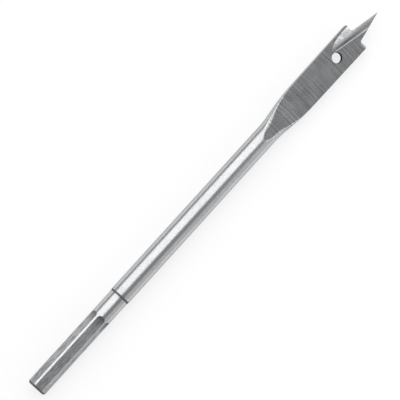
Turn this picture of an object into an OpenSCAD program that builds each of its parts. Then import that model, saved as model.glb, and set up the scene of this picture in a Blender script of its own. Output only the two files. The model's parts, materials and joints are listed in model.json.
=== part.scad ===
// Spade drill bit for wood, forged and ground from one piece of tool steel.
// It lies on its round shaft on the plane z = 0, with the faces of its blade leaning a little.
// Its axis runs along X, from the end of the shank at -X to the tip of the point at +X.

/* [Overall] */
// Length from the end of the shank to the tip of the point
overall_len = 152.4; // [130:0.1:200]
// Lean of the blade's faces about the axis, as the bit lies on its shaft
face_lean = 10; // [0:0.5:20]

/* [Shank] */
// Diameter of the round shank that the six flats are ground on
shank_d = 6.25; // [6:0.05:6.4]
// Distance across two opposite flats
shank_af = 5.7; // [5.5:0.05:5.9]
// Length of the flats at full depth, from the end of the shank
flat_len = 26.4; // [15:0.1:30]
// Radius of the wheel that leaves the run-out at the end of each flat
flat_runout_r = 6; // [4:0.5:20]
// Length of the shank, from its end to the shoulder
shank_len = 36.4; // [34:0.1:50]
// Radius of the rounded edge at the end of the shank
shank_end_r = 0.5; // [0.2:0.05:1]

/* [Shaft] */
// Diameter of the forged round shaft
shaft_d = 6.6; // [6.5:0.05:7.2]
// Length of the conical shoulder between shank and shaft
shoulder_len = 0.35; // [0.2:0.05:1.5]

/* [Blade] */
// Width of cut, across the outer corners of the two lips
blade_w = 9.525; // [9:0.005:12]
// Thickness of the blade
blade_t = 2; // [1.6:0.05:2.6]
// Width of the blade at its heel, where the flare ends
heel_w = 9.2; // [8.2:0.05:9.4]
// Distance of the heel from the tip
heel_from_tip = 34.3; // [30:0.1:45]
// Length of the flare, from the round shaft to the heel
flare_len = 16.7; // [12:0.1:25]
// Share of the flare that curves outward before it curves back
flare_share = 0.33; // [0.2:0.01:0.6]
// Distance of the foot of the ramps from the tip
ramp_from_tip = 40.5; // [38:0.1:50]
// Slope of the ramps that run the flat faces out on the shaft
ramp_angle = 10.5; // [8:0.5:16]
// Radius that blends each ramp into the face
ramp_blend_r = 40; // [10:1:60]

/* [Point] */
// Length of the centre spur, from the lips to the tip
spur_len = 10.1; // [8:0.1:13]
// Width of the spur at the lips
spur_w = 4; // [3:0.1:5]
// Relief angle behind the cutting edges
relief_angle = 28; // [10:1:32]
// Radius of the fillet between lip and spur
root_fillet_r = 1.2; // [0.6:0.1:1.5]

/* [Hollow grind] */
// Distance of the hollow's run-out from the tip
hollow_len = 19; // [16:0.1:24]
// Depth of the hollow at the tip
hollow_depth = 0.8; // [0.4:0.05:0.8]
// Crown radius of the wheel that grinds the hollow
hollow_crown_r = 15; // [12:0.5:25]
// Lean of the hollow's inner wall from upright
hollow_wall_lean = 22; // [20:1:50]
// Distance from the tip to where that wall crosses the axis
hollow_cross = 9.7; // [8:0.1:12]

/* [Hole] */
// Diameter of the hole through the blade
hole_d = 3.3; // [2:0.05:4]
// Distance of the hole from the tip
hole_from_tip = 19.2; // [18:0.1:28]

/* [Hidden] */
$fn = 180;
shank_r = shank_d / 2;
shaft_r = shaft_d / 2;
blade_r = blade_w / 2;
heel_r = heel_w / 2;
half_t = blade_t / 2;
// How far a cutter reaches past what it cuts
clear = 1;
// Stations along the axis, from the end of the shank
shaft_x = shank_len + shoulder_len;
heel_x = overall_len - heel_from_tip;
flare_x = heel_x - flare_len;
lip_x = overall_len - spur_len;
hole_x = overall_len - hole_from_tip;
ramp_foot_x = overall_len - ramp_from_tip;
// The flare is two arcs that meet tangent: the outward one at the shaft, the other at the heel
flare_rise = heel_r - shaft_r;
flare_radii = (pow(flare_len, 2) + pow(flare_rise, 2)) / (2 * flare_rise);
flare_out_r = flare_radii * flare_share;
flare_back_r = flare_radii - flare_out_r;
flare_bend_x = flare_x + flare_len * flare_share;
flare_bend_r = shaft_r + flare_rise * flare_share;
// The blend is tangent to the ramp at its start and to the face at its end
blend_run = ramp_blend_r * tan(ramp_angle / 2);
blend_start_x = ramp_foot_x - blend_run * cos(ramp_angle);
blend_start_z = half_t + blend_run * sin(ramp_angle);
blend_end_x = ramp_foot_x + blend_run;
face_cut_top = blade_r + clear;
ramp_top_x = ramp_foot_x - (face_cut_top - half_t) / tan(ramp_angle);
// The lips are drawn in the plane across the relief direction, from the middle of the blade
lip_mid_x = lip_x - half_t * tan(relief_angle);
spur_run = (overall_len - lip_mid_x) * cos(relief_angle);
spur_root = spur_w / 2 * (overall_len - lip_mid_x) / spur_len;
spur_side = atan2(spur_root, spur_run);
lip_cut_h = 2 * ((spur_run + blade_t) * tan(relief_angle) + blade_t);
fillet_y = (root_fillet_r + (spur_run - root_fillet_r) * sin(spur_side)) / cos(spur_side);
// The hollow runs beside the spur's edge, and its wheel is lowest at the tip
hollow_turn = atan2(spur_w / 2, spur_len);
hollow_run = hollow_len / cos(hollow_turn);
hollow_wheel_r = (pow(hollow_run, 2) + pow(hollow_depth, 2)) / (2 * hollow_depth);
hollow_wheel_y = -hollow_cross * tan(hollow_turn);
hollow_rim = 3 * blade_t;

// Half of the round blank, with the radius along X and the axis along Y
module blank_section() {
    polygon([
        [0, 0],
        [shank_r - shank_end_r, 0],
        [shank_r - shank_end_r, shank_end_r],
        [shank_r, shank_end_r],
        [shank_r, shank_len],
        [shaft_r, shaft_x],
        [shaft_r, flare_x],
        [0, flare_x]
    ]);
    translate([shank_r - shank_end_r, shank_end_r]) circle(shank_end_r);
    difference() {
        translate([0, flare_x]) square([flare_bend_r, flare_bend_x - flare_x]);
        translate([shaft_r + flare_out_r, flare_x]) circle(flare_out_r);
    }
    intersection() {
        translate([0, flare_bend_x]) square([heel_r, heel_x - flare_bend_x]);
        translate([heel_r - flare_back_r, heel_x]) circle(flare_back_r);
    }
    polygon([
        [0, heel_x],
        [heel_r, heel_x],
        [blade_r, lip_x],
        [blade_r, overall_len],
        [0, overall_len]
    ]);
}

// What is taken off above one face: ramp, blend and face, with X along the axis and Y up
module face_section() {
    polygon([
        [ramp_top_x, face_cut_top],
        [blend_start_x, blend_start_z],
        [blend_start_x, face_cut_top]
    ]);
    intersection() {
        translate([blend_start_x, half_t]) square([blend_end_x - blend_start_x, face_cut_top - half_t]);
        translate([blend_end_x, half_t + ramp_blend_r]) circle(ramp_blend_r);
    }
    translate([blend_end_x, half_t]) square([overall_len + clear - blend_end_x, face_cut_top - half_t]);
}

module face_cut() {
    rotate([90, 0, 0]) linear_extrude(2 * face_cut_top, center = true) face_section();
}

// One flat of the shank, with the arc that the wheel leaves where it lifts off
module flat_cut() {
    rotate([90, 0, 0]) linear_extrude(shank_d, center = true) {
        translate([-clear, shank_af / 2]) square([flat_len + clear, flat_runout_r]);
        translate([flat_len, shank_af / 2 + flat_runout_r]) circle(flat_runout_r);
    }
}

// What is taken off in front of one lip and beside the spur, square to the relief direction
module lip_section() {
    polygon([
        [0, blade_r + clear],
        [0, fillet_y],
        [root_fillet_r, fillet_y],
        [root_fillet_r * (1 - sin(spur_side)), fillet_y - root_fillet_r * cos(spur_side)],
        [spur_run + blade_t, -blade_t * tan(spur_side)],
        [spur_run + blade_t, blade_r + clear]
    ]);
    translate([root_fillet_r, fillet_y]) circle(root_fillet_r);
}

module lip_cut() {
    translate([lip_mid_x, 0, 0]) rotate([0, relief_angle, 0])
        linear_extrude(lip_cut_h, center = true) lip_section();
}

// Rim of the wheel that grinds the hollow: a crown on one side, a leaning wall on the other
module hollow_section() {
    intersection() {
        translate([hollow_wheel_r - hollow_crown_r, 0]) circle(hollow_crown_r);
        translate([hollow_wheel_r - hollow_rim, 0]) square([hollow_rim, hollow_crown_r]);
    }
    polygon([
        [hollow_wheel_r, 0],
        [hollow_wheel_r - hollow_rim, 0],
        [hollow_wheel_r - hollow_rim, -hollow_rim * tan(hollow_wall_lean)]
    ]);
}

module hollow_cut() {
    translate([overall_len, hollow_wheel_y, half_t - hollow_depth + hollow_wheel_r])
        rotate([-90, 0, -hollow_turn]) rotate_extrude($fn = 720) hollow_section();
}

// The whole bit, forged and ground as one piece, with the two sides of its blade alike
module spade_bit() {
    color("#8c8d8f")
    translate([-overall_len / 2, 0, shaft_r]) rotate([face_lean, 0, 0]) difference() {
        rotate([0, 90, 0]) rotate_extrude() blank_section();
        for (turn = [0 : 60 : 300]) rotate([turn, 0, 0]) flat_cut();
        for (side = [0, 180]) rotate([side, 0, 0]) {
            face_cut();
            lip_cut();
            hollow_cut();
        }
        translate([hole_x, 0, 0]) cylinder(h = blade_t + 2 * clear, d = hole_d, center = true);
    }
}

spade_bit();
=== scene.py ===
import json
import math

import bmesh
import bpy
from mathutils import Matrix, Vector


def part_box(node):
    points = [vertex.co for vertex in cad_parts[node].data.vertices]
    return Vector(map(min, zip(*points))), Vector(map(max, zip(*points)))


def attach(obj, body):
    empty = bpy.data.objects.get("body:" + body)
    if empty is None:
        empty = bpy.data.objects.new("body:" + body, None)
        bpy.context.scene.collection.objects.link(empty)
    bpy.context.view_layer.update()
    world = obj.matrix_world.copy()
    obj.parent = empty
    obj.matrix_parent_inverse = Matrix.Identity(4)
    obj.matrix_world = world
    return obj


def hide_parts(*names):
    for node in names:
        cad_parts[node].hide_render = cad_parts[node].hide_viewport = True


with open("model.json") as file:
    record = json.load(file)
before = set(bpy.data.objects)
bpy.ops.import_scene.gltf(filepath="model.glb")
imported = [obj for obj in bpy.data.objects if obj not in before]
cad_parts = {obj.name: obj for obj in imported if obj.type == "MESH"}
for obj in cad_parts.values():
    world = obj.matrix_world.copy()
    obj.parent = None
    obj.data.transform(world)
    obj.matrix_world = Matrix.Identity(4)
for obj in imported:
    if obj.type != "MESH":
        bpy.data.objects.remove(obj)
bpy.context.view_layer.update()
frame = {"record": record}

# Sizes in millimetres, in the bit's own axes: X from the end of the shank to the tip,
# Z square to the faces of the blade. Those that the record states are read from it.
mounts = {mount["name"]: mount for mount in frame["record"]["mounts"]}
node_low, node_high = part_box("spade_bit")
LENGTH = (node_high[0] - node_low[0]) * 1000
SHAFT_R = mounts["shaft"]["dims"]["r_mm"]
HOLE_R = mounts["wire_hole"]["dims"]["r_mm"]
HALF_T = mounts["wire_hole"]["dims"]["length_mm"] / 2
FACE_NORMAL = Vector(mounts["wire_hole"]["axis"])
FACE_LEAN = math.atan2(-FACE_NORMAL.y, FACE_NORMAL.z)

# Shank, with six flats that run out in the arc of a wheel
SHANK_R = 6.25 / 2
SHANK_LEN = 36.1
SHANK_END_ROUND = 0.85
FLAT_HEIGHT = 5.7 / 2
FLAT_LEN = 27.3
FLAT_RUNOUT_R = 2.5
FLAT_COUNT = 6
SHOULDER_LEN = 0.65
SHAFT_X = SHANK_LEN + SHOULDER_LEN
# How much of the rounded end keeps the dark skin of its face
SHEARED_SHARE = 0.75

# Flare and blade
HEEL_R = 9.2 / 2
HEEL_X = LENGTH - 34.3
FLARE_LEN = 16.7
FLARE_X = HEEL_X - FLARE_LEN
FLARE_SHARE = 0.33
BLADE_R = 9.525 / 2
RAMP_FOOT_X = LENGTH - 40.5
RAMP_SLOPE = math.radians(10.5)
RAMP_BLEND_R = 40

# Lips and spur
SPUR_LEN = 10.1
SPUR_HALF_W = 2
LIP_X = LENGTH - SPUR_LEN
RELIEF = math.radians(28)
ROOT_FILLET_R = 1.2

# The wheel of the hollow grind runs beside the spur's edge and is lowest at the tip
HOLLOW_LEN = 19
HOLLOW_DEPTH = 0.8
HOLLOW_CROWN_R = 15
HOLLOW_WALL_LEAN = math.radians(22)
HOLLOW_CROSS = 9.7
HOLLOW_RIM = 6
HOLLOW_PAST_TIP = math.radians(1.2)
HOLLOW_SWEEP = math.radians(7.7)
HOLLOW_TURN = math.atan2(SPUR_HALF_W, SPUR_LEN)
HOLLOW_RUN = HOLLOW_LEN / math.cos(HOLLOW_TURN)
HOLLOW_WHEEL_R = (HOLLOW_RUN ** 2 + HOLLOW_DEPTH ** 2) / (2 * HOLLOW_DEPTH)
HOLLOW_CENTRE = Vector((LENGTH, -HOLLOW_CROSS * math.tan(HOLLOW_TURN),
                        HALF_T - HOLLOW_DEPTH + HOLLOW_WHEEL_R))
HOLLOW_AXIS = Vector((math.sin(HOLLOW_TURN), math.cos(HOLLOW_TURN), 0))
ARRIS_WEAR = 0.1
ARRIS_SWEEP = math.radians(4.5)

HOLE_X = LENGTH - 19.2
HOLE_DEBUR = 0.05

# How far from an edge its rounding starts, and how far the neck's softer edges fade in and out
FLAT_SOFT = 0.03
BLADE_SOFT = 0.1
NECK_SOFT = 1.0
NECK_FADE_IN = 4
NECK_FADE_OUT = 8

# How far a cutter reaches past what it cuts, steps of the curves, and what counts as one place
CLEAR = 1
SPIN_STEPS = 240
HOLE_STEPS = 96
HOLLOW_STEPS = 32
ARRIS_STEPS = 32
ARRIS_ROUND_STEPS = 4
FILLET_STEPS = 16
MERGE = 1e-4
TOUCH = 0.01

# From the bit's own axes to the row's frame, in metres
TO_ROW = (Matrix.Scale(0.001, 4) @ Matrix.Translation((-LENGTH / 2, 0, SHAFT_R))
          @ Matrix.Rotation(FACE_LEAN, 4, "X"))


def linear(hex_colour):
    """A colour socket's value from an sRGB hex colour."""
    parts = [int(hex_colour[i:i + 2], 16) / 255 for i in (1, 3, 5)]
    return [p / 12.92 if p <= 0.04045 else ((p + 0.055) / 1.055) ** 2.4 for p in parts] + [1.0]


def add(tree, kind, settings=None, **inputs):
    """Adds a node, sets it, and fills its sockets with values or with (node, output) links."""
    new = tree.nodes.new(kind)
    for name, value in (settings or {}).items():
        setattr(new, name, value)
    for name, value in inputs.items():
        socket = new.inputs[int(name[1:]) if name[0] == "_" else name.replace("_", " ")]
        if isinstance(value, tuple) and isinstance(value[0], bpy.types.Node):
            tree.links.new(value[0].outputs[value[1]], socket)
        else:
            socket.default_value = value
    return new


def new_material(name):
    """A material without nodes, and its node tree."""
    material = bpy.data.materials.new(name)
    material.use_nodes = True
    material.node_tree.nodes.clear()
    return material, material.node_tree


def steel(name, dark, light, rough, grain_mm, rough_spread, depth_um, bow=0.0,
          cloud_mm=6.0, cloud=0.35, spread=0.18, dark_patch=None):
    """Bare tool steel whose fine lines and cloudy tone follow the bit's own axes.

    grain_mm is how far apart the lines lie along X, Y and Z, bow how much they curve across the
    blade, cloud_mm the width of the slow change of tone and cloud its share of the whole. A small
    spread sets the dark and the light apart more sharply. The last argument gives the middle, the turn
    about Z and the reach along each axis of a darker patch that fades outwards, on both sides of the
    bit; at the foot of the hollow's wall that patch is painted shade.
    """
    material, tree = new_material(name)
    place = add(tree, "ShaderNodeTexCoord")
    axes = add(tree, "ShaderNodeMapping", {"vector_type": "TEXTURE"}, Vector=(place, "Object"),
               Location=(0, 0, SHAFT_R / 1000), Rotation=(FACE_LEAN, 0, 0), Scale=(0.001, 0.001, 0.001))
    split = add(tree, "ShaderNodeSeparateXYZ", Vector=(axes, "Vector"))
    bend = add(tree, "ShaderNodeMath", {"operation": "MULTIPLY"}, _0=(split, "Y"), _1=(split, "Y"))
    along = add(tree, "ShaderNodeMath", {"operation": "MULTIPLY_ADD"},
                _0=(bend, 0), _1=bow, _2=(split, "X"))
    bowed = add(tree, "ShaderNodeCombineXYZ", X=(along, 0), Y=(split, "Y"), Z=(split, "Z"))
    stretch = add(tree, "ShaderNodeMapping", {"vector_type": "TEXTURE"},
                  Vector=(bowed, "Vector"), Scale=grain_mm)
    lines = add(tree, "ShaderNodeTexNoise",
                Vector=(stretch, "Vector"), Scale=1.0, Detail=4.0, Roughness=0.62)
    slow = add(tree, "ShaderNodeTexNoise",
               Vector=(bowed, "Vector"), Scale=1 / cloud_mm, Detail=2.0, Roughness=0.5)
    both = add(tree, "ShaderNodeMix", {"data_type": "FLOAT"}, _0=cloud, _2=(lines, "Fac"), _3=(slow, "Fac"))
    tone = add(tree, "ShaderNodeMapRange", Value=(both, 0), From_Min=0.5 - spread, From_Max=0.5 + spread)
    colour = add(tree, "ShaderNodeMix", {"data_type": "RGBA"},
                 _0=(tone, 0), _6=linear(dark), _7=linear(light))
    # Mixes in a darker patch: painted shade at the foot of the hollow's wall, a darker end on each shank flat
    if dark_patch:
        middle, turn, reach = dark_patch
        side = add(tree, "ShaderNodeMath", {"operation": "SIGN"}, _0=(split, "Z"))
        across = add(tree, "ShaderNodeMath", {"operation": "MULTIPLY"}, _0=(split, "Y"), _1=(side, 0))
        folded = add(tree, "ShaderNodeCombineXYZ", X=(split, "X"), Y=(across, 0))
        patch = add(tree, "ShaderNodeMapping", {"vector_type": "TEXTURE"}, Vector=(folded, 0),
                    Location=(middle[0] - LENGTH / 2, middle[1], 0), Rotation=(0, 0, turn), Scale=reach)
        dark_fade = add(tree, "ShaderNodeTexGradient", {"gradient_type": "SPHERICAL"}, Vector=(patch, 0))
        colour = add(tree, "ShaderNodeMix", {"data_type": "RGBA"},
                     _0=(dark_fade, "Fac"), _6=(colour, 2), _7=linear("#76777a"))
    dull = add(tree, "ShaderNodeMapRange", Value=(both, 0), From_Min=0.3, From_Max=0.7,
               To_Min=rough + rough_spread, To_Max=rough - rough_spread)
    relief = add(tree, "ShaderNodeBump", Height=(lines, "Fac"), Distance=depth_um * 1e-6, Strength=1.0)
    # Iron mirrors a little less at a grazing angle than a plain metal would
    surface = add(tree, "ShaderNodeBsdfPrincipled", Metallic=1.0, Base_Color=(colour, 2),
                  Roughness=(dull, 0), Specular_Tint=linear("#c6c6c6"), Normal=(relief, 0))
    add(tree, "ShaderNodeOutputMaterial", Surface=(surface, 0))
    return material


# A reach, in mm, along which a darker patch does not fade
ENDLESS = 100
# A darker patch at the end of each shank flat
FLAT_END_DARKENING = ((28.2, 0), 0, (3.4, ENDLESS, ENDLESS))
# Painted shade along the foot of the hollow's wall, where the wall keeps the light off
HOLLOW_FOOT_PAINTED_SHADE = ((LENGTH - 13.6, 1.2), -HOLLOW_TURN, (6.5, 0.5, ENDLESS))

# Drop-forged tool steel, drawn and tumbled bright: a soft mirror with fine pits. The pits are
# drawn about 0.5 mm wide, coarser than real ones, so that they show.
forged_steel = steel("forged_bright_steel", "#b8b9bb", "#d2d3d4", rough=0.27, grain_mm=(0.6, 0.4, 0.4),
                     rough_spread=0.05, depth_um=0.7, cloud=0.2)
# Steel ground lengthwise on the shank: lines along the flats that draw the light out, and a darker
# patch at the end of each flat that fades along the flat. The real lines are
# finer than 0.1 mm and are drawn 0.3 mm apart so that they show.
shank_ground_steel = steel("shank_ground_steel", "#818285", "#c9cacc", rough=0.36, grain_mm=(2.2, 0.3, 0.3),
                           rough_spread=0.06, depth_um=2.0, cloud=0.15, spread=0.14, dark_patch=FLAT_END_DARKENING)
# Steel ground across the blade: lines a little bowed by the wheel. The real ones are finer than
# 0.1 mm and are drawn 0.6 mm apart so that they show.
face_ground_steel = steel("face_ground_steel", "#8b8c8f", "#d2d3d4", rough=0.26, grain_mm=(0.6, 40.0, 40.0),
                          rough_spread=0.06, depth_um=5.0, bow=0.012, cloud_mm=4.0, cloud=0.25, spread=0.12)
# Steel left by the crowned wheel in the hollow beside the point: short marks, a mottled shine, and
# painted shade along the foot of the wall, where the wall keeps the light off. The marks are drawn
# coarser than real ones.
hollow_ground_steel = steel("hollow_ground_steel", "#a9aaac", "#d6d7d8", rough=0.24, grain_mm=(0.5, 0.7, 2.0),
                            rough_spread=0.08, depth_um=2.0, cloud_mm=1.6, cloud=0.45, dark_patch=HOLLOW_FOOT_PAINTED_SHADE)
# The relief behind each cutting edge, ground last and finest, and the worn arris of the hollow:
# smooth steel with hardly a line left in it
lip_ground_steel = steel("lip_ground_steel", "#c2c3c5", "#cecfd0", rough=0.28, grain_mm=(3.0, 0.25, 3.0),
                         rough_spread=0.04, depth_um=1.0)
# The drilled wall of the hole, duller than what is ground, with rings from the drill. Its near-black
# tone is painted shade for the shade inside the hole; the bare wall is lighter.
painted_shade_drilled_steel = steel("painted_shade_drilled_steel", "#343536", "#4c4d4e", rough=0.75, grain_mm=(3.0, 3.0, 0.2),
                      rough_spread=0.06, depth_um=4.0)
# The sheared end of the shank, which keeps the dark skin of the forge, and its shoulder, where the
# same dark steel is painted shade for the dark line at the step
skin_and_shade_steel = steel("forge_skin_and_painted_shade_steel", "#646567", "#838486", rough=0.55, grain_mm=(0.8, 0.8, 0.8),
                      rough_spread=0.08, depth_um=5.0, cloud_mm=2.0)
REGIONS = [forged_steel, shank_ground_steel, face_ground_steel, skin_and_shade_steel]
FORGED, SHANK_FLAT, FACE, SKIN_AND_SHADE = range(4)


def stations(*zones):
    """Places along the axis from (start, end, step) zones, closer together where a cut runs out."""
    places = []
    for start, end, step in zones:
        count = max(1, round((end - start) / step))
        places += [start + (end - start) * i / count for i in range(count)]
    return places + [zones[-1][1]]


def blank_radius(x):
    """Radius of the forged blank before anything is ground off it."""
    rise = HEEL_R - SHAFT_R
    radii = (FLARE_LEN ** 2 + rise ** 2) / (2 * rise)
    out_r, back_r = radii * FLARE_SHARE, radii * (1 - FLARE_SHARE)
    if x < SHANK_END_ROUND:
        return SHANK_R - SHANK_END_ROUND + math.sqrt(SHANK_END_ROUND ** 2 - (SHANK_END_ROUND - x) ** 2)
    if x < SHANK_LEN:
        return SHANK_R
    if x < SHAFT_X:
        return SHANK_R + (SHAFT_R - SHANK_R) * (x - SHANK_LEN) / (SHAFT_X - SHANK_LEN)
    if x < FLARE_X:
        return SHAFT_R
    if x < FLARE_X + FLARE_LEN * FLARE_SHARE:
        return SHAFT_R + out_r - math.sqrt(out_r ** 2 - (x - FLARE_X) ** 2)
    if x < HEEL_X:
        return HEEL_R - back_r + math.sqrt(back_r ** 2 - (HEEL_X - x) ** 2)
    return HEEL_R + (BLADE_R - HEEL_R) * min((x - HEEL_X) / (LIP_X - HEEL_X), 1)


def flat_height(x):
    """Height of a shank flat from the axis, with the arc that the wheel leaves at its end."""
    past = x - FLAT_LEN
    if past <= 0:
        return FLAT_HEIGHT
    return FLAT_HEIGHT + FLAT_RUNOUT_R - math.sqrt(max(FLAT_RUNOUT_R ** 2 - past ** 2, 0))


def face_height(x):
    """Height of a blade face from the middle: ramp, blend and face."""
    run = RAMP_BLEND_R * math.tan(RAMP_SLOPE / 2)
    if x < RAMP_FOOT_X - run * math.cos(RAMP_SLOPE):
        return HALF_T + (RAMP_FOOT_X - x) * math.tan(RAMP_SLOPE)
    past = RAMP_FOOT_X + run - x
    return HALF_T + RAMP_BLEND_R - math.sqrt(RAMP_BLEND_R ** 2 - max(past, 0) ** 2)


def soft_min(a, b, soft):
    """The smaller of two heights, rounded over where they are about equal."""
    return min(a, b) - max(soft - abs(a - b), 0) ** 2 / (4 * soft)


def grind(vert):
    """Presses one vertex of the blank down to what the wheels leave, and says which wheel did."""
    x, region = vert.co.x, FORGED
    if x < FLAT_LEN + FLAT_RUNOUT_R:
        for flat_number in range(FLAT_COUNT):
            turn = flat_number * 2 * math.pi / FLAT_COUNT
            normal = Vector((0, -math.sin(turn), math.cos(turn)))
            height, flat = vert.co.dot(normal), flat_height(x)
            if height > flat:
                region = SHANK_FLAT
            if height > flat - FLAT_SOFT:
                vert.co += normal * (soft_min(height, flat, FLAT_SOFT) - height)
        return region
    side = 1 if vert.co.z >= 0 else -1
    height, face = abs(vert.co.z), face_height(x)
    # The edges are softest on the neck, where the forging is worn, and crisp on the blade
    neck = min(max((x - FLARE_X) / NECK_FADE_IN, 0), 1) * min(max((HEEL_X - x) / NECK_FADE_OUT, 0), 1)
    if height > face:
        region = FACE
    vert.co.z = side * soft_min(height, face, BLADE_SOFT + (NECK_SOFT - BLADE_SOFT) * neck)
    return region


def ground_blank():
    """The blank as one closed spun skin, with shank flats, ramps and faces ground into it."""
    bm = bmesh.new()
    end_round = [SHANK_END_ROUND * (1 - math.cos(math.radians(a))) for a in range(0, 90, 15)]
    flat_end_x, neck_x, point_x = FLAT_LEN + 1.5, FLARE_X - 6, LENGTH - HOLLOW_LEN - 3
    places = end_round + stations(
        (SHANK_END_ROUND, FLAT_LEN, 1.8), (FLAT_LEN, flat_end_x, 0.1), (flat_end_x, SHANK_LEN, 1.5),
        (SHANK_LEN, SHAFT_X, SHOULDER_LEN), (SHAFT_X, neck_x, 3), (neck_x, HEEL_X, 0.25),
        (HEEL_X, point_x, 0.7), (point_x, LENGTH + 1.2, 0.3))
    outline = [(0, 0)] + [(x, blank_radius(x)) for x in places] + [(places[-1], 0)]
    verts = [bm.verts.new((x, 0, r)) for x, r in outline]
    edges = [bm.edges.new(pair) for pair in zip(verts, verts[1:])]
    bmesh.ops.spin(bm, geom=verts + edges, cent=(0, 0, 0), axis=(1, 0, 0), angle=2 * math.pi,
                   steps=SPIN_STEPS, use_merge=True)
    bmesh.ops.remove_doubles(bm, verts=bm.verts, dist=MERGE)
    bmesh.ops.recalc_face_normals(bm, faces=bm.faces)
    regions = {vert: grind(vert) for vert in bm.verts}
    for face in bm.faces:
        near = [regions[vert] for vert in face.verts]
        low_x, high_x = min(vert.co.x for vert in face.verts), max(vert.co.x for vert in face.verts)
        on_end = high_x < SHANK_END_ROUND * SHEARED_SHARE
        # The dark steel on the shoulder's faces is painted shade
        shoulder_painted_shade = low_x > SHANK_LEN - TOUCH and high_x < SHAFT_X + TOUCH
        face.material_index = SKIN_AND_SHADE if on_end or shoulder_painted_shade else max(set(near), key=near.count)
    return bm


def hollow_cutter():
    """A slice of the wheel that grinds the hollow: a crown on one side, a leaning wall on the other."""
    crown = [math.radians(a) for a in range(0, 51, 2)]
    outline = [(HOLLOW_CROWN_R * math.sin(a), HOLLOW_CROWN_R * (1 - math.cos(a))) for a in crown]
    outline += [(outline[-1][0], HOLLOW_RIM), (-HOLLOW_RIM * math.tan(HOLLOW_WALL_LEAN), HOLLOW_RIM)]
    bm = bmesh.new()
    verts = [bm.verts.new(HOLLOW_CENTRE + HOLLOW_AXIS * across + Vector((0, 0, up - HOLLOW_WHEEL_R)))
             for across, up in outline]
    edges = [bm.edges.new(pair) for pair in zip(verts, verts[1:] + verts[:1])]
    bmesh.ops.rotate(bm, verts=verts, cent=HOLLOW_CENTRE,
                     matrix=Matrix.Rotation(-HOLLOW_PAST_TIP, 3, HOLLOW_AXIS))
    bmesh.ops.spin(bm, geom=verts + edges, cent=HOLLOW_CENTRE, axis=HOLLOW_AXIS, angle=HOLLOW_SWEEP,
                   steps=HOLLOW_STEPS)
    bmesh.ops.holes_fill(bm, edges=bm.edges)
    return bm


def beyond(end, before):
    """The place as far past an end of a line as the place before it lies short of it."""
    return 2 * end[0] - before[0], 2 * end[1] - before[1]


def arris_cutter():
    """What wear takes off the arris between the hollow's wall and the face: a small rounding."""
    corner = math.pi / 2 - HOLLOW_WALL_LEAN
    round_r = 1 / math.tan(corner / 2)
    turns = [corner * i / ARRIS_ROUND_STEPS for i in range(ARRIS_ROUND_STEPS + 1)]
    # The section, with the wear as its unit: the rounding, drawn out at both ends, and a corner in the air
    arc = [(round_r * math.sin(a) - 1, round_r * (math.cos(a) - 1)) for a in turns]
    outline = [beyond(arc[0], arc[1])] + arc + [beyond(arc[-1], arc[-2]), (4, 4)]
    along = Vector((HOLLOW_AXIS.y, -HOLLOW_AXIS.x, 0))
    bm = bmesh.new()
    rings = []
    for step in range(ARRIS_STEPS + 1):
        angle = ARRIS_SWEEP * step / ARRIS_STEPS
        deep = HOLLOW_WHEEL_R - (HOLLOW_WHEEL_R - HOLLOW_DEPTH) / math.cos(angle)
        spot = HOLLOW_CENTRE - along * (HOLLOW_WHEEL_R - HOLLOW_DEPTH) * math.tan(angle)
        spot -= HOLLOW_AXIS * deep * math.tan(HOLLOW_WALL_LEAN)
        spot.z = HALF_T
        # Where the hollow runs out, the wear runs out with it
        wear = min(ARRIS_WEAR, deep / 2)
        rings.append([bm.verts.new(spot + (HOLLOW_AXIS * across + Vector((0, 0, up))) * wear)
                      for across, up in outline])
    for ring, after in zip(rings, rings[1:]):
        for i in range(len(outline)):
            bm.faces.new((ring[i - 1], ring[i], after[i], after[i - 1]))
    bm.faces.new(rings[0])
    bm.faces.new(rings[-1])
    return bm


def lip_cutter():
    """What is ground off in front of one lip and beside the spur, along the relief direction."""
    mid_x = LIP_X - HALF_T * math.tan(RELIEF)
    spur_run = (LENGTH - mid_x) * math.cos(RELIEF)
    spur_side = math.atan2(SPUR_HALF_W * (LENGTH - mid_x) / SPUR_LEN, spur_run)
    fillet_y = (ROOT_FILLET_R + (spur_run - ROOT_FILLET_R) * math.sin(spur_side)) / math.cos(spur_side)
    sweep = math.pi / 2 - spur_side
    fillet = [math.pi + sweep * i / FILLET_STEPS for i in range(FILLET_STEPS + 1)]
    past, wide = 2 * CLEAR, BLADE_R + CLEAR
    outline = [(0, wide)]
    outline += [(ROOT_FILLET_R * (1 + math.cos(a)), fillet_y + ROOT_FILLET_R * math.sin(a)) for a in fillet]
    outline += [(spur_run + past, -past * math.tan(spur_side)), (spur_run + past, wide)]
    deep = (spur_run + 2 * past) * math.tan(RELIEF) + past
    bm = bmesh.new()
    face = bm.faces.new([bm.verts.new((x, y, -deep)) for x, y in outline])
    lifted = bmesh.ops.extrude_face_region(bm, geom=[face])["geom"]
    bmesh.ops.translate(bm, vec=(0, 0, 2 * deep),
                        verts=[item for item in lifted if isinstance(item, bmesh.types.BMVert)])
    bm.transform(Matrix.Translation((mid_x, 0, 0)) @ Matrix.Rotation(RELIEF, 4, "Y"))
    return bm


def hole_cutter():
    """The drill for the wire hole, with the small cones that take the burr off its two rims."""
    bm = bmesh.new()
    rim, cone = HALF_T - HOLE_DEBUR, 1.2 * CLEAR
    outline = [(0, -rim - cone), (HOLE_R + cone, -rim - cone), (HOLE_R, -rim),
               (HOLE_R, rim), (HOLE_R + cone, rim + cone), (0, rim + cone)]
    verts = [bm.verts.new((r, 0, z)) for r, z in outline]
    edges = [bm.edges.new(pair) for pair in zip(verts, verts[1:])]
    bmesh.ops.spin(bm, geom=verts + edges, cent=(0, 0, 0), axis=(0, 0, 1), angle=2 * math.pi,
                   steps=HOLE_STEPS, use_merge=True)
    bmesh.ops.remove_doubles(bm, verts=bm.verts, dist=MERGE)
    bm.transform(Matrix.Translation((HOLE_X, 0, 0)))
    return bm


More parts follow.
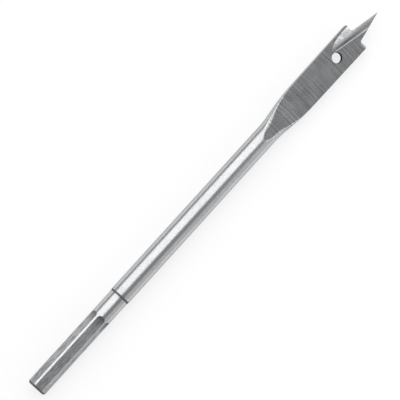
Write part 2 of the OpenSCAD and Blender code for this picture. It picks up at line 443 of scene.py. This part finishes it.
def new_object(name, bm, materials):
    """A mesh object from a bmesh whose faces point outwards."""
    bmesh.ops.recalc_face_normals(bm, faces=bm.faces)
    mesh = bpy.data.meshes.new(name)
    bm.to_mesh(mesh)
    bm.free()
    for material in materials:
        mesh.materials.append(material)
    obj = bpy.data.objects.new(name, mesh)
    bpy.context.scene.collection.objects.link(obj)
    return obj


def cut_away(piece, cutter):
    """Takes the cutter's shape out of the piece, which gets the cutter's finish there."""
    cut = piece.modifiers.new("cut", "BOOLEAN")
    cut.operation, cut.object, cut.solver, cut.material_mode = "DIFFERENCE", cutter, "MANIFOLD", "TRANSFER"
    done = bpy.data.meshes.new_from_object(piece.evaluated_get(bpy.context.evaluated_depsgraph_get()))
    piece.modifiers.clear()
    used, piece.data = piece.data, done
    done.name = piece.name
    tool = cutter.data
    bpy.data.objects.remove(cutter)
    bpy.data.meshes.remove(tool)
    bpy.data.meshes.remove(used)


bit = new_object("ground_spade_bit", ground_blank(), REGIONS)
for side in (0, math.pi):
    for name, cutter, finish in (("hollow_cutter", hollow_cutter(), hollow_ground_steel),
                                 ("arris_cutter", arris_cutter(), lip_ground_steel),
                                 ("lip_cutter", lip_cutter(), lip_ground_steel)):
        cutter.transform(Matrix.Rotation(side, 4, "X"))
        cut_away(bit, new_object(name, cutter, [finish]))
cut_away(bit, new_object("hole_cutter", hole_cutter(), [painted_shade_drilled_steel]))

bm = bmesh.new()
bm.from_mesh(bit.data)
bmesh.ops.remove_doubles(bm, verts=bm.verts, dist=MERGE)
bmesh.ops.dissolve_degenerate(bm, edges=bm.edges, dist=MERGE)
bm.transform(TO_ROW)
for face in bm.faces:
    face.smooth = True
# An edge is crisp where it turns sharply, and where a cutter's finish starts at even a slight turn
CRISP_TURN = math.radians(20)
CRISP_CUT_TURN = math.radians(1.5)
for edge in bm.edges:
    finishes = {face.material_index for face in edge.link_faces}
    cut_border = len(finishes) > 1 and max(finishes) >= len(REGIONS)
    edge.smooth = edge.calc_face_angle(math.pi) < (CRISP_CUT_TURN if cut_border else CRISP_TURN)
bm.to_mesh(bit.data)
bm.free()
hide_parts("spade_bit")
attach(bit, "root")

# A white floor. Its own light, for the eye and for what mirrors it, only lifts it to paper white.
FLOOR_HALF_SIDE = 12
FLOOR_LIFT = 0.70
floor_bm = bmesh.new()
bmesh.ops.create_grid(floor_bm, x_segments=1, y_segments=1, size=FLOOR_HALF_SIDE)
floor_white, floor_tree = new_material("matt_white_floor")
path = add(floor_tree, "ShaderNodeLightPath")
direct = add(floor_tree, "ShaderNodeMath", {"operation": "ADD"},
             _0=(path, "Is Camera Ray"), _1=(path, "Is Glossy Ray"))
seen = add(floor_tree, "ShaderNodeMath", {"operation": "ADD", "use_clamp": True},
           _0=(direct, 0), _1=(path, "Is Transmission Ray"))
lift = add(floor_tree, "ShaderNodeMath", {"operation": "MULTIPLY"}, _0=(seen, 0), _1=FLOOR_LIFT)
paint = add(floor_tree, "ShaderNodeBsdfPrincipled", Base_Color=linear("#9b9b9b"), Roughness=0.9,
            Emission_Color=linear("#ffffff"), Emission_Strength=(lift, 0))
add(floor_tree, "ShaderNodeOutputMaterial", Surface=(paint, 0))
floor = new_object("floor", floor_bm, [floor_white])

CENTRE = Vector((0, 0, SHAFT_R / 1000))


def put(name, data, place, right, up, out):
    """Links a lamp or camera at a place, with its own axes along right, up and out."""
    obj = bpy.data.objects.new(name, data)
    obj.matrix_world = Matrix.Translation(place) @ Matrix((right, up, out)).transposed().to_4x4()
    bpy.context.scene.collection.objects.link(obj)
    return obj


def softbox(name, right_deg, tip_deg, distance, width, length, brightness):
    """A softbox that faces the bit, so far round to its right and so far towards its tip."""
    right, tip = math.radians(right_deg), math.radians(tip_deg)
    out = Vector((math.sin(tip), -math.sin(right) * math.cos(tip), math.cos(right) * math.cos(tip)))
    along = (Vector((1, 0, 0)) - out * out.x).normalized()
    lamp = bpy.data.lights.new(name, "AREA")
    lamp.shape, lamp.size, lamp.size_y = "RECTANGLE", length, width
    lamp.energy = brightness * math.pi * length * width
    put(name, lamp, CENTRE + out * distance, along, out.cross(along), out)


softbox("overhead_softbox", right_deg=-29, tip_deg=10, distance=0.95, width=1.42, length=1.2, brightness=1.35)
softbox("right_card", right_deg=68, tip_deg=5, distance=0.95, width=0.6, length=1.4, brightness=0.42)
softbox("tip_card", right_deg=45.4, tip_deg=26, distance=0.40, width=0.17, length=0.12, brightness=1.3)
softbox("shank_end_card", right_deg=0, tip_deg=-66, distance=0.95, width=1.4, length=0.5, brightness=0.8)
softbox("tip_end_card", right_deg=0, tip_deg=66, distance=0.95, width=1.4, length=0.5, brightness=0.8)

world = bpy.data.worlds.new("studio")
world.use_nodes = True
world.node_tree.nodes["Background"].inputs["Color"].default_value = linear("#929292")
bpy.context.scene.world = world

# The camera looks down on the bit, a little from its shank end, with the tip to the upper right.
# The middle of the bit lies at CENTRE_PIXEL in a picture PICTURE_SIDE pixels wide and high.
CAMERA_LEAN = math.radians(9.5) - FACE_LEAN
CAMERA_TILT = math.radians(7.03)
CAMERA_TURN = math.radians(47.74)
CAMERA_DISTANCE = 0.593
SENSOR_MM = 36
PICTURE_SIDE = 400
PIXELS_PER_M = 3366.4
CENTRE_PIXEL = (209.65, 197.21)
out = Vector((-math.sin(CAMERA_TILT), math.cos(CAMERA_TILT) * math.sin(CAMERA_LEAN),
              math.cos(CAMERA_TILT) * math.cos(CAMERA_LEAN)))
tipward = Vector((math.cos(CAMERA_TILT), math.sin(CAMERA_TILT) * math.sin(CAMERA_LEAN),
                  math.sin(CAMERA_TILT) * math.cos(CAMERA_LEAN)))
sideward = Vector((0, -math.cos(CAMERA_LEAN), math.sin(CAMERA_LEAN)))
right = tipward * math.cos(CAMERA_TURN) + sideward * math.sin(CAMERA_TURN)
up = tipward * math.sin(CAMERA_TURN) - sideward * math.cos(CAMERA_TURN)
shift_right = (CENTRE_PIXEL[0] - PICTURE_SIDE / 2) / PIXELS_PER_M
shift_up = (PICTURE_SIDE / 2 - CENTRE_PIXEL[1]) / PIXELS_PER_M
aim = CENTRE - right * shift_right - up * shift_up
eye = bpy.data.cameras.new("camera")
eye.sensor_width = SENSOR_MM
eye.lens = CAMERA_DISTANCE * SENSOR_MM * PIXELS_PER_M / PICTURE_SIDE
eye.clip_start = 0.01
bpy.context.scene.camera = put("camera", eye, aim + out * CAMERA_DISTANCE, right, up, out)
bpy.context.scene.view_settings.view_transform = "Standard"
